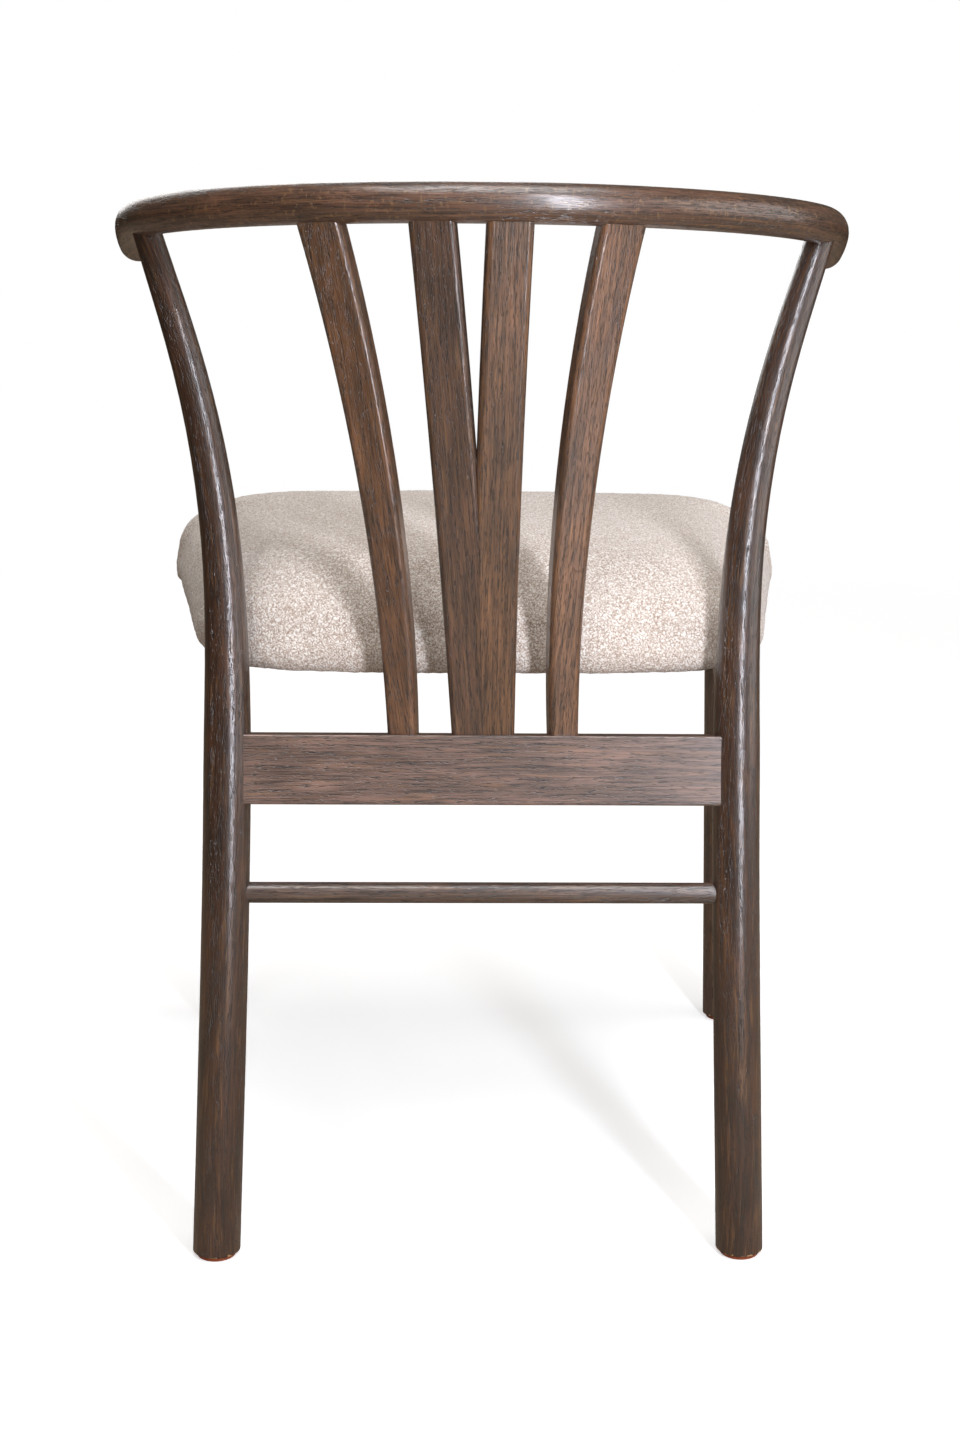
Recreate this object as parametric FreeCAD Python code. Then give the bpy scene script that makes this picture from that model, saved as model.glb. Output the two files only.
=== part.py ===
import FreeCAD, Part
import math
import os
from FreeCAD import Vector

# Low wooden armchair with a fan of four splats under a one-piece bow and an upholstered seat.
# The chair faces -Y, its back is at +Y, +Z is up, and all sizes are in millimetres.
# The origin lies on the floor, under the middle of the chair's width and depth.

# Feet and legs
rear_foot_x = 186.5
rear_foot_y = 217.5
front_foot_x = 226.5
front_foot_y = -234.5
glide_thickness = 2.0
glide_inset = 2.0
foot_chamfer_in = 2.0
foot_chamfer_up = 5.0
rear_leg_diameter = 33.5
rear_waist_diameter = 32.5
rear_top_diameter = 19.5
front_leg_diameter = 30.5
front_leg_lean_x = 14.0
front_leg_lean_y = 20.0

# Sweep of a rear leg: how far its axis has moved in from the foot at three heights
waist_height = 375.0
waist_in = 11.2
waist_forward = 35.0
chest_height = 497.0
chest_in = 6.9
chest_forward = 62.0
shoulder_height = 611.0
shoulder_out = 14.7
shoulder_forward = 94.0

# Bow: half an ellipse in plan, sloping down towards its arm ends
bow_half_width = 247.5
bow_plan_depth = 212.0
bow_back_y = 237.0
bow_back_height = 732.0
bow_slope = 0.118
bow_end_angle = 95.0
arm_droop = 8.0
arm_droop_start = 150.0
bow_section_width = 25.2
bow_section_height = 26.0
arm_section_width = 30.0
arm_section_height = 28.5
arm_end_round = 9.0
post_meets_bow_y = 91.0
post_tenon_diameter = 12.0

# Splats and the rail under them
rail_height = 48.0
rail_thickness = 22.0
rail_middle_height = 349.5
rail_lean = 10.0
rail_edge_round = 1.5
splat_thickness = 16.0
splat_edge_round = 4.0
inner_splat_width = 30.2
inner_splat_foot_x = 6.4
inner_splat_rise_x = 12.0
inner_splat_curve_x = 6.9
outer_splat_foot_width = 20.2
outer_splat_top_width = 31.0
outer_splat_foot_x = 54.7
outer_splat_curve_x = 43.6
outer_splat_foot_turn = 10.0
fan_tilt = 1.9
splat_tenon_thickness = 8.0
splat_tenon_shoulder = 5.0
rail_tenon_depth = 18.0
splat_bury = 2.0

# Round stretcher between the rear legs
stretcher_height = 264.0
stretcher_diameter = 14.6
stretcher_tenon_diameter = 10.0
stretcher_tenon_depth = 11.0

# Seat rails, their dowels, blocks and screws
seat_rail_height = 52.0
seat_rail_thickness = 20.0
seat_rail_round = 1.5
dowel_diameter = 7.0
dowel_in_rail = 20.0
dowel_stop = 5.0
dowel_edge_distance = 12.0
block_side = 46.0
block_height = 38.0
block_screw_reach = 28.5
block_screw_diameter = 3.5
block_screw_length = 26.0
seat_screw_diameter = 4.0
seat_screw_bite = 9.0
screw_head_diameter = 8.0
screw_head_height = 2.6
counterbore_depth = 22.0
counterbore_diameter = 9.5
side_screw_places = (0.28, 0.72)
front_screw_x = 105.0

# Seat pad
seat_base_height = 410.0
seat_back_forward = 1.5
seat_back_out = 17.5
seat_front_forward = 21.7
seat_front_out = 45.6
seat_back_radius = 1150.0
seat_front_radius = 1500.0
seat_corner_radius = 58.0
seat_tuck = 8.0
seat_bulge_height = 27.0
seat_crown_rise = 54.0
seat_crown_reach = 160.0
seat_crown_power = 2.6
cover_thickness = 2.0
board_thickness = 12.0
board_inset = 12.0
lining_thickness = 0.8
lining_inset = 19.0
cover_turn_under = 24.0

# Clearances
glue_gap = 0.1
soft_gap = 0.3
screw_gap = 0.2
thread_gap = 0.05

UP = Vector(0, 0, 1)
OUT = Vector(1, 0, 0)
BACK = Vector(0, 1, 0)


def mirrored(shape):
    """The same piece on the other side of the chair."""
    return shape.mirror(Vector(0, 0, 0), OUT)


def ring(center, normal, side, half_side, half_up):
    """Oval wire square to normal, half_side wide along side and half_up the other way."""
    n = Vector(normal).normalize()
    s = (side - n * side.dot(n)).normalize()
    u = n.cross(s)
    matrix = FreeCAD.Matrix(
        s.x * half_side, u.x * half_up, n.x, center.x,
        s.y * half_side, u.y * half_up, n.y, center.y,
        s.z * half_side, u.z * half_up, n.z, center.z,
        0, 0, 0, 1)
    circle = Part.Wire(Part.Circle(Vector(0, 0, 0), UP, 1.0).toShape())
    return circle.transformGeometry(matrix)


def loft(wires):
    return Part.makeLoft(wires, True)


def cylinder(start, end, diameter):
    axis = end - start
    return Part.makeCylinder(diameter / 2, axis.Length, start, axis)


def carved(piece, cuts):
    """A piece with each of the cuts taken out in turn."""
    for shape in cuts:
        piece = piece.cut(shape)
    return piece


def slab(height, thickness, reach=700.0):
    """Everything within reach of the axis between two heights, for cutting."""
    corner = Vector(-reach, -reach, height)
    return Part.makeBox(2 * reach, 2 * reach, thickness, corner)


# Rear leg axis and bow centre line
def bow_drop(forward):
    extra = max(0.0, forward - arm_droop_start) / (bow_plan_depth - arm_droop_start)
    return bow_slope * forward + arm_droop * extra ** 2


def bow_point(angle):
    """Point of the bow's centre line, angle 0 at the back and +90 at the chair's +X side."""
    turn = math.radians(angle)
    forward = bow_plan_depth * (1 - math.cos(turn))
    x = bow_half_width * math.sin(turn)
    return Vector(x, bow_back_y - forward, bow_back_height - bow_drop(forward))


def bow_angle_at_y(y):
    return math.degrees(math.acos(1 - (bow_back_y - y) / bow_plan_depth))


def bow_angle_at_x(x):
    return math.degrees(math.asin(x / bow_half_width))


def bow_tangent(angle):
    step = 0.05
    return (bow_point(angle + step) - bow_point(angle - step)).normalize()


def bow_section(angle):
    """Half width and half height of the bow, growing from the back to the arm ends."""
    share = min(1.0, abs(angle) / bow_end_angle) ** 4
    width = bow_section_width + (arm_section_width - bow_section_width) * share
    height = bow_section_height + (arm_section_height - bow_section_height) * share
    return width / 2, height / 2


def make_plain_bow():
    count = 24
    rings = []
    for index in range(count + 1):
        angle = -bow_end_angle + 2 * bow_end_angle * index / count
        half_width, half_height = bow_section(angle)
        tangent = bow_tangent(angle)
        side = UP.cross(tangent)
        rings.append(ring(bow_point(angle), tangent, side, half_width, half_height))
    solid = loft(rings)
    ends = [e for e in solid.Edges if abs(e.CenterOfMass.y - bow_point(bow_end_angle).y) < 1.0]
    return solid.makeFillet(arm_end_round, ends)


post_top = bow_point(bow_angle_at_y(post_meets_bow_y))


def make_leg_axis():
    points = [
        Vector(rear_foot_x, rear_foot_y, 0),
        Vector(rear_foot_x - waist_in, rear_foot_y - waist_forward, waist_height),
        Vector(rear_foot_x - chest_in, rear_foot_y - chest_forward, chest_height),
        Vector(rear_foot_x + shoulder_out, rear_foot_y - shoulder_forward, shoulder_height),
        post_top,
    ]
    curve = Part.BSplineCurve()
    foot_direction = Vector(-1.0, -0.4, 24.0)
    top_direction = post_top - points[3]
    curve.interpolate(Points=points, InitialTangent=foot_direction, FinalTangent=top_direction)
    return curve


leg_axis = make_leg_axis()


def leg_parameter(height):
    low = leg_axis.FirstParameter
    high = leg_axis.LastParameter
    for _ in range(40):
        middle = (low + high) / 2
        if leg_axis.value(middle).z < height:
            low = middle
        else:
            high = middle
    return (low + high) / 2


def leg_point(height):
    return leg_axis.value(leg_parameter(height))


def leg_diameter(height):
    if height < waist_height:
        share = height / waist_height
        return rear_leg_diameter + (rear_waist_diameter - rear_leg_diameter) * share
    share = (height - waist_height) / (post_top.z - waist_height)
    eased = share * (1.25 - 0.25 * share)
    return rear_waist_diameter + (rear_top_diameter - rear_waist_diameter) * eased


def make_plain_rear_leg():
    count = 14
    rings = []
    for index in range(count + 1):
        height = post_top.z * index / count
        parameter = leg_parameter(height)
        if index == count:
            parameter = leg_axis.LastParameter
        tangent = Vector(*leg_axis.tangent(parameter)[0])
        radius = leg_diameter(height) / 2
        rings.append(ring(leg_axis.value(parameter), tangent, OUT, radius, radius))
    return loft(rings)


def chamfered_foot(leg):
    """Cuts a leg level at the top of its glide and bevels the rim."""
    leg = leg.cut(slab(-50.0, 50.0 + glide_thickness))
    rims = [e for e in leg.Edges if e.BoundBox.ZMax < glide_thickness + 0.01]
    return leg.makeChamfer(foot_chamfer_in, foot_chamfer_up, rims)


def make_glide(foot, leg_width):
    radius = leg_width / 2 - foot_chamfer_in - glide_inset / 2
    disc = Part.makeCylinder(radius, glide_thickness, Vector(foot.x, foot.y, 0))
    rim = [e for e in disc.Edges if e.BoundBox.ZMax < 0.01]
    return disc.makeFillet(glide_thickness / 4, rim)


# Rails and stretcher
rail_middle = leg_point(rail_middle_height)
rail_direction = Vector(0, -math.sin(math.radians(rail_lean)), math.cos(math.radians(rail_lean)))
rail_top = rail_middle + rail_direction * (rail_height / 2)


def leaning_box(half_length, half_thickness, half_height, middle):
    """Box along X whose height follows the lean of the back legs."""
    box = Part.makeBox(2 * half_length, 2 * half_thickness, 2 * half_height,
                       Vector(-half_length, -half_thickness, -half_height))
    box.rotate(Vector(0, 0, 0), OUT, rail_lean)
    box.translate(Vector(0, middle.y, middle.z))
    return box


def make_plain_rail():
    box = leaning_box(rail_middle.x, rail_thickness / 2, rail_height / 2, rail_middle)
    long_edges = [e for e in box.Edges if e.BoundBox.XLength > rail_middle.x]
    return box.makeFillet(rail_edge_round, long_edges)


def make_plain_stretcher():
    end = leg_point(stretcher_height)
    return cylinder(Vector(-end.x, end.y, end.z), end, stretcher_diameter)


def stretcher_tenon(extra):
    """Round tenon from the stretcher into the +X leg."""
    end = leg_point(stretcher_height)
    start = Vector(end.x - leg_diameter(stretcher_height), end.y, end.z)
    stop = Vector(end.x - leg_diameter(stretcher_height) / 2 + stretcher_tenon_depth + extra, end.y, end.z)
    return cylinder(start, stop, stretcher_tenon_diameter + 2 * extra)


# Front legs and seat rails
seat_rail_top = seat_base_height - lining_thickness - 2 * soft_gap
seat_rail_middle_height = seat_rail_top - seat_rail_height / 2


def front_leg_point(height):
    share = height / seat_rail_top
    x = front_foot_x - front_leg_lean_x * share
    return Vector(x, front_foot_y + front_leg_lean_y * share, height)


def make_plain_front_leg():
    low = front_leg_point(-10.0)
    high = front_leg_point(seat_rail_top + 10.0)
    leg = cylinder(low, high, front_leg_diameter)
    leg = leg.cut(slab(seat_rail_top, 50.0))
    rims = [e for e in leg.Edges if e.BoundBox.ZMin > seat_rail_top - 0.01]
    return leg.makeFillet(seat_rail_round, rims)


def bar_between(start, end, thickness, height, round_radius):
    """Level bar with rounded long edges between two points at the same height."""
    along = end - start
    length = along.Length
    bar = Part.makeBox(length, thickness, height, Vector(0, -thickness / 2, -height / 2))
    long_edges = [e for e in bar.Edges if e.BoundBox.XLength > length / 2]
    bar = bar.makeFillet(round_radius, long_edges)
    bar.rotate(Vector(0, 0, 0), UP, math.degrees(math.atan2(along.y, along.x)))
    bar.translate(start)
    return bar


side_back = leg_point(seat_rail_middle_height)
side_front = front_leg_point(seat_rail_middle_height)


def make_plain_side_rail():
    back = Vector(side_back.x, side_back.y, side_front.z)
    return bar_between(back, side_front, seat_rail_thickness, seat_rail_height, seat_rail_round)


def make_plain_front_rail():
    left = Vector(-side_front.x, side_front.y, side_front.z)
    return bar_between(left, side_front, seat_rail_thickness, seat_rail_height, seat_rail_round)


def dowel(post, direction, post_radius, extra):
    """Dowel from just short of a post's axis out into a rail, along direction."""
    start = post + direction * (dowel_stop - extra)
    stop = post + direction * (post_radius + dowel_in_rail + extra)
    return cylinder(start, stop, dowel_diameter + 2 * extra)


def side_dowels(extra):
    pins = []
    for height in (seat_rail_top - dowel_edge_distance, seat_rail_top - seat_rail_height + dowel_edge_distance):
        back = leg_point(height)
        front = front_leg_point(height)
        back_end = Vector(side_back.x, side_back.y, height)
        front_end = Vector(side_front.x, side_front.y, height)
        forward = (front_end - back_end).normalize()
        back_post = back_end + forward * (back - back_end).dot(forward)
        front_post = front_end + forward * (front - front_end).dot(forward)
        pins.append(dowel(back_post, forward, rear_waist_diameter / 2, extra))
        pins.append(dowel(front_post, forward * -1, front_leg_diameter / 2, extra))
    return pins


def front_dowel(extra):
    return dowel(side_front, OUT * -1, front_leg_diameter / 2, extra)


def back_rail_dowels(extra):
    pins = []
    for side in (-1, 1):
        place = rail_middle + rail_direction * (side * (rail_height / 2 - dowel_edge_distance))
        pins.append(dowel(place, OUT * -1, rear_waist_diameter / 2, extra))
    return pins


# Splats
def splat_section(x, y, z, width, thickness, turn, round_radius):
    """Level outline of a splat: a rectangle with rounded corners, turned about its own axis."""
    w = width / 2
    t = thickness / 2
    r = round_radius
    k = r * (1 - math.sqrt(0.5))
    corners = [(w, t, 1, 1), (-w, t, -1, 1), (-w, -t, -1, -1), (w, -t, 1, -1)]
    edges = []
    ends = []
    for cx, cy, sx, sy in corners:
        on_side = Vector(cx, cy - sy * r, 0)
        on_face = Vector(cx - sx * r, cy, 0)
        middle = Vector(cx - sx * k, cy - sy * k, 0)
        first, last = (on_side, on_face) if sx * sy > 0 else (on_face, on_side)
        ends.append((first, middle, last))
    for index, (first, middle, last) in enumerate(ends):
        edges.append(Part.Arc(first, middle, last).toShape())
        edges.append(Part.LineSegment(last, ends[(index + 1) % 4][0]).toShape())
    wire = Part.Wire(edges)
    wire.rotate(Vector(0, 0, 0), UP, turn)
    wire.translate(Vector(x, y, z))
    return wire


def inner_x(share):
    return inner_splat_foot_x + inner_splat_rise_x * share + inner_splat_curve_x * share ** 2


def outer_x(share):
    return outer_splat_foot_x + outer_splat_curve_x * share ** 2


def inner_width(share):
    return inner_splat_width


def outer_width(share):
    return outer_splat_foot_width + (outer_splat_top_width - outer_splat_foot_width) * share


def bow_turn(x):
    """Turn of the bow's plan where it passes a splat at x, in degrees from the X axis."""
    tangent = bow_tangent(bow_angle_at_x(x))
    return math.degrees(math.atan2(tangent.y, tangent.x))


def fan_shift(share):
    """How far the leaning fan has moved towards +X at a share of its height."""
    return share * (bow_back_height - rail_top.z) * math.tan(math.radians(fan_tilt))


def splat_solid(side, side_x, width, foot_turn, start, stop, narrower, thickness, round_radius):
    """Splat between two shares of its height, straight in side view and turned to meet the bow."""
    top_x = side * side_x(1.0) + fan_shift(1.0)
    top = bow_point(bow_angle_at_x(top_x))
    top_turn = bow_turn(top_x)
    count = 6
    wires = []
    for index in range(count + 1):
        share = start + (stop - start) * index / count
        x = side * side_x(share) + fan_shift(share)
        y = rail_top.y + (top.y - rail_top.y) * share
        z = rail_top.z + (top.z - rail_top.z) * share
        turn = -side * foot_turn * (1 - share) + top_turn * share
        wires.append(splat_section(x, y, z, width(share) - narrower, thickness, turn, round_radius))
    return loft(wires)


def beside_seam(side, gap):
    """The space on one side of the leaning seam between the two inner splats."""
    corner = Vector(side * gap / 2 + (side - 1) * 150.0, -450.0, -150.0)
    space = Part.makeBox(300.0, 900.0, 900.0, corner)
    space.rotate(Vector(0, 0, 0), BACK, fan_tilt)
    space.translate(Vector(0, 0, rail_top.z))
    return space


def splat_shapes(side, side_x, width, foot_turn, halved):
    """Blank, core and clearance core of one splat."""
    height = bow_back_height - rail_top.z
    bury = (rail_thickness * math.tan(math.radians(rail_lean)) / 2 + splat_bury) / height
    core_round = splat_tenon_thickness / 4
    low = -rail_tenon_depth / height
    gap = glue_gap / height
    narrower = 2 * splat_tenon_shoulder
    blank = splat_solid(side, side_x, width, foot_turn, -bury, 1.0, 0.0,
                        splat_thickness, splat_edge_round)
    core = splat_solid(side, side_x, width, foot_turn, low, 1.0, narrower,
                       splat_tenon_thickness, core_round)
    hole = splat_solid(side, side_x, width, foot_turn, low - gap, 1.0 + gap, narrower - 2 * glue_gap,
                       splat_tenon_thickness + 2 * glue_gap, core_round)
    if halved:
        blank = blank.common(beside_seam(side, 0.0))
        core = core.common(beside_seam(side, narrower))
        hole = hole.common(beside_seam(side, narrower - 2 * glue_gap))
    return blank, core, hole


def finished_splat(blank, core, rail, bow):
    """Splat with its shoulders fitted to the rail and the bow and a tenon at each end."""
    between = max(blank.cut(rail).cut(bow).Solids, key=lambda solid: solid.Volume)
    return between.fuse(core)


# Seat pad, whose back corners stand just in front of the rear legs and whose front covers the front legs
beside_pad = leg_point(seat_base_height + seat_bulge_height)
seat_back_y = beside_pad.y - seat_back_forward
seat_back_half_width = beside_pad.x + seat_back_out
seat_front_y = side_front.y - seat_front_forward
seat_front_half_width = side_front.x + seat_front_out


def meet_circle_and_line(circle_y, circle_r, corner_r, line_point, line_dir, inward, bulge_sign):
    """Tangent corner between the bowed back or front edge and a straight side of the pad."""
    normal = inward
    base = line_point + normal * corner_r
    centre = Vector(0, circle_y, 0)
    reach = circle_r - corner_r
    offset = base - centre
    b = offset.dot(line_dir)
    c = offset.dot(offset) - reach ** 2
    along = -b + bulge_sign * math.sqrt(b * b - c)
    corner = base + line_dir * along
    on_line = corner - normal * corner_r
    on_circle = centre + (corner - centre) * (circle_r / reach)
    middle_dir = ((on_line - corner) + (on_circle - corner)).normalize()
    return on_line, corner + middle_dir * corner_r, on_circle


def pad_outline(inset, height):
    """Level outline of the seat pad, moved inwards by inset."""
    corner_r = max(seat_corner_radius - inset, seat_corner_radius / 3)
    back_centre = seat_back_y - seat_back_radius
    front_centre = seat_front_y + seat_front_radius
    back_corner = Vector(seat_back_half_width, seat_back_y, 0)
    front_corner = Vector(seat_front_half_width, seat_front_y, 0)
    line_dir = (front_corner - back_corner).normalize()
    inward = Vector(line_dir.y, -line_dir.x, 0)
    line_point = back_corner + inward * inset
    back = meet_circle_and_line(back_centre, seat_back_radius - inset, corner_r,
                                line_point, line_dir, inward, -1)
    front = meet_circle_and_line(front_centre, seat_front_radius - inset, corner_r,
                                 line_point, line_dir, inward, 1)
    back_middle = Vector(0, seat_back_y - inset, 0)
    front_middle = Vector(0, seat_front_y + inset, 0)

    def flip(point):
        return Vector(-point.x, point.y, 0)

    edges = [
        Part.Arc(back[0], back[1], back[2]),
        Part.Arc(back[2], back_middle, flip(back[2])),
        Part.Arc(flip(back[2]), flip(back[1]), flip(back[0])),
        Part.LineSegment(flip(back[0]), flip(front[0])),
        Part.Arc(flip(front[0]), flip(front[1]), flip(front[2])),
        Part.Arc(flip(front[2]), front_middle, front[2]),
        Part.Arc(front[2], front[1], front[0]),
        Part.LineSegment(front[0], back[0]),
    ]
    wire = Part.Wire([edge.toShape() for edge in edges])
    wire.translate(Vector(0, 0, height))
    return wire


def crown_height(share):
    """Height above the widest line, for a share of the way from the side to the flat middle."""
    return seat_crown_rise * (1 - (1 - share) ** seat_crown_power) ** (1 / seat_crown_power)


def pad_body(skin):
    """The whole pad, or what lies inside a skin of the given thickness."""
    bulge = seat_base_height + seat_bulge_height
    lower = seat_bulge_height - skin
    upper = (seat_crown_rise - skin) / seat_crown_rise
    wires = []
    for share in (1.0, 0.5):
        wires.append(pad_outline(skin + seat_tuck * share ** 2, bulge - lower * share))
    count = 9
    for index in range(count + 1):
        share = 0.94 * (index / count) ** 2
        wires.append(pad_outline(skin + seat_crown_reach * share, bulge + upper * crown_height(share)))
    return loft(wires)


def plate(inset, height, thickness):
    return Part.Face(pad_outline(inset, height)).extrude(Vector(0, 0, thickness))


# Screws
def screw(head_top, direction, length, diameter):
    """Countersunk wood screw: head_top is the middle of its flat head, direction points to the tip."""
    tip_length = diameter
    tip_start = head_top + direction * (length - tip_length)
    head = Part.makeCone(screw_head_diameter / 2, diameter / 2, screw_head_height, head_top, direction)
    shank = cylinder(head_top + direction * screw_head_height, tip_start, diameter)
    tip = Part.makeCone(diameter / 2, diameter / 10, tip_length, tip_start, direction)
    return head.fuse([shank, tip])


def screw_bore(head_top, direction, clear_length, pilot_length, diameter):
    """Hole for a screw: open above the head, clear through one piece and snug in the next."""
    head = Part.makeCone(screw_head_diameter / 2 + screw_gap, diameter / 2 + screw_gap,
                         screw_head_height, head_top, direction)
    above = cylinder(head_top - direction * block_side, head_top, screw_head_diameter + 2 * screw_gap)
    clear = cylinder(head_top, head_top + direction * clear_length, diameter + 2 * screw_gap)
    pilot = cylinder(head_top, head_top + direction * pilot_length, diameter + 2 * thread_gap)
    return above.fuse([head, clear]), pilot


board_bottom = seat_base_height + cover_thickness + soft_gap
seat_screw_length = (board_bottom + seat_screw_bite) - (seat_rail_top - seat_rail_height + counterbore_depth)


def side_screw_points():
    low = seat_rail_top - seat_rail_height
    back = Vector(side_back.x, side_back.y, low)
    front = Vector(side_front.x, side_front.y, low)
    return [back + (front - back) * place for place in side_screw_places]


def front_screw_point():
    return Vector(front_screw_x, side_front.y, seat_rail_top - seat_rail_height)


def seat_screw(point):
    return screw(point + UP * counterbore_depth, UP, seat_screw_length, seat_screw_diameter)


def seat_screw_bores(point):
    """Counterbored clear hole through a seat rail, and the snug hole in the board above."""
    head_top = point + UP * counterbore_depth
    clear, pilot = screw_bore(head_top, UP, seat_rail_height, seat_screw_length, seat_screw_diameter)
    bore = cylinder(point - UP, head_top, counterbore_diameter)
    return clear.fuse(bore), pilot


# Corner blocks inside the front corners of the seat frame
def block_frame():
    """Inner corner of the seat frame, the direction along the side rail and the one square to it."""
    along_side = Vector(side_back.x - side_front.x, side_back.y - side_front.y, 0).normalize()
    inward = Vector(-along_side.y, along_side.x, 0)
    half = seat_rail_thickness / 2 + glue_gap
    start = Vector(side_front.x, side_front.y, 0) + inward * half
    corner = start + along_side * ((side_front.y + half - start.y) / along_side.y)
    return corner, along_side, inward


block_bottom = seat_rail_top - block_height - seat_rail_round


def make_plain_block():
    corner, along_side, inward = block_frame()
    lip = block_side / 4
    points = [
        corner,
        corner - OUT * block_side,
        corner - OUT * block_side + BACK * lip,
        corner + along_side * block_side + inward * lip,
        corner + along_side * block_side,
        corner,
    ]
    face = Part.Face(Part.makePolygon([p + UP * block_bottom for p in points]))
    return face.extrude(UP * block_height)


def block_screw_places():
    """Head centre and direction of a block's two screws, one into each rail."""
    corner, along_side, inward = block_frame()
    depth = block_screw_length / 2
    low = UP * (block_bottom + block_height / 3)
    high = UP * (block_bottom + block_height * 2 / 3)
    return [
        (corner - OUT * block_screw_reach + BACK * depth + low, BACK * -1),
        (corner + along_side * block_screw_reach + inward * depth + high, inward * -1),
    ]


# Build the wooden frame
plain_bow = make_plain_bow()
plain_rear_leg = make_plain_rear_leg()
plain_rail = make_plain_rail()
plain_front_leg = make_plain_front_leg()
both_rear_legs = [plain_rear_leg, mirrored(plain_rear_leg)]

post_direction = Vector(*leg_axis.tangent(leg_axis.LastParameter)[0])
post_tenon = cylinder(post_top - post_direction * bow_section_height, post_top, post_tenon_diameter)
post_socket = cylinder(post_top - post_direction * bow_section_height, post_top + post_direction * glue_gap,
                       post_tenon_diameter + 2 * glue_gap)

rear_dowels = [side_dowels(0.0)[0], side_dowels(0.0)[2]] + back_rail_dowels(0.0)
front_dowels = [side_dowels(0.0)[1], side_dowels(0.0)[3], front_dowel(0.0)]
rear_dowel_holes = [side_dowels(glue_gap)[0], side_dowels(glue_gap)[2]] + back_rail_dowels(glue_gap)
front_dowel_holes = [side_dowels(glue_gap)[1], side_dowels(glue_gap)[3], front_dowel(glue_gap)]

rear_leg = chamfered_foot(plain_rear_leg).cut(plain_bow).fuse(post_tenon.common(plain_bow))
rear_leg = carved(rear_leg.removeSplitter(), [stretcher_tenon(glue_gap)] + rear_dowel_holes)
front_leg = carved(chamfered_foot(plain_front_leg), front_dowel_holes)

left_stretcher_tenon = stretcher_tenon(0.0)
stretcher = carved(make_plain_stretcher(), both_rear_legs)
stretcher = stretcher.fuse([left_stretcher_tenon, mirrored(left_stretcher_tenon)]).removeSplitter()

splats = {}
splat_holes = []
for kind, side_x, width, foot_turn, halved in (
        ("outer", outer_x, outer_width, outer_splat_foot_turn, False),
        ("inner", inner_x, inner_width, 0.0, True)):
    for hand, side in (("left", 1), ("right", -1)):
        blank, core, hole = splat_shapes(side, side_x, width, foot_turn, halved)
        splats["splat_" + kind + "_" + hand] = finished_splat(blank, core, plain_rail, plain_bow)
        splat_holes.append(hole)

bow = carved(plain_bow, splat_holes + [post_socket, mirrored(post_socket)])
rail_holes = back_rail_dowels(glue_gap) + [mirrored(hole) for hole in back_rail_dowels(glue_gap)]
back_rail = carved(plain_rail, both_rear_legs + splat_holes + rail_holes)

# Build the seat frame
screw_points = side_screw_points()
left_bores = [seat_screw_bores(point) for point in screw_points]
front_bores = seat_screw_bores(front_screw_point())
block_bores = [screw_bore(head, direction, block_screw_length / 2, block_screw_length, block_screw_diameter)
               for head, direction in block_screw_places()]

plain_side_rail = make_plain_side_rail()
side_rail = carved(plain_side_rail, [plain_rear_leg, plain_front_leg] + side_dowels(glue_gap))
side_rail = carved(side_rail, [clear for clear, pilot in left_bores] + [block_bores[1][1]])
front_rail = make_plain_front_rail()
front_rail = carved(front_rail, [plain_front_leg, mirrored(plain_front_leg)])
front_rail = carved(front_rail, [plain_side_rail, mirrored(plain_side_rail)])
front_rail_cuts = [front_dowel(glue_gap), front_bores[0], block_bores[0][1]]
front_rail = carved(front_rail, front_rail_cuts + [mirrored(cut) for cut in front_rail_cuts])
block = carved(make_plain_block(), [plain_front_leg] + [clear for clear, pilot in block_bores])

# Build the seat pad
seat_pilots = [pilot for clear, pilot in left_bores] + [front_bores[1]]
seat_pilots = seat_pilots + [mirrored(pilot) for pilot in seat_pilots]
cover = pad_body(0.0).cut(pad_body(cover_thickness))
cover = cover.cut(plate(cover_turn_under, seat_base_height - cover_thickness, 3 * cover_thickness))
board = plate(board_inset, board_bottom, board_thickness)
board_room = plate(board_inset - soft_gap, seat_base_height,
                   board_bottom + board_thickness + soft_gap - seat_base_height)
foam = pad_body(cover_thickness + soft_gap).cut(board_room)
lining = plate(lining_inset, seat_rail_top + soft_gap, lining_thickness)


def write(name, shape):
    shape.exportStep("parts/" + name + ".step")
    print(name, len(shape.Solids), round(shape.Volume / 1000, 1), shape.isValid())


def write_pair(name, shape):
    write(name + "_left", shape)
    write(name + "_right", mirrored(shape))


def write_group(name, shapes):
    write(name, Part.makeCompound(shapes))


os.makedirs("parts", exist_ok=True)
write("bow", bow)
write_pair("rear_leg", rear_leg)
write_pair("front_leg", front_leg)
for name, shape in splats.items():
    write(name, shape)
write("back_rail", back_rail)
write("rear_stretcher", stretcher)
write_pair("side_rail", side_rail)
write("front_rail", front_rail)
write_pair("corner_block", block)
dowels = rear_dowels + front_dowels
write_group("frame_dowels", dowels + [mirrored(pin) for pin in dowels])
block_screws = [screw(head, direction, block_screw_length, block_screw_diameter)
                for head, direction in block_screw_places()]
write_group("block_screws", block_screws + [mirrored(piece) for piece in block_screws])
seat_screws = [seat_screw(point) for point in screw_points + [front_screw_point()]]
write_group("seat_screws", seat_screws + [mirrored(piece) for piece in seat_screws])
write("seat_board", carved(board, seat_pilots))
write("seat_foam", foam)
write("seat_cover", carved(cover, seat_pilots))
write("seat_lining", carved(lining, seat_pilots))
write_pair("glide_rear", make_glide(leg_point(0.0), rear_leg_diameter))
write_pair("glide_front", make_glide(front_leg_point(0.0), front_leg_diameter))
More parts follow.
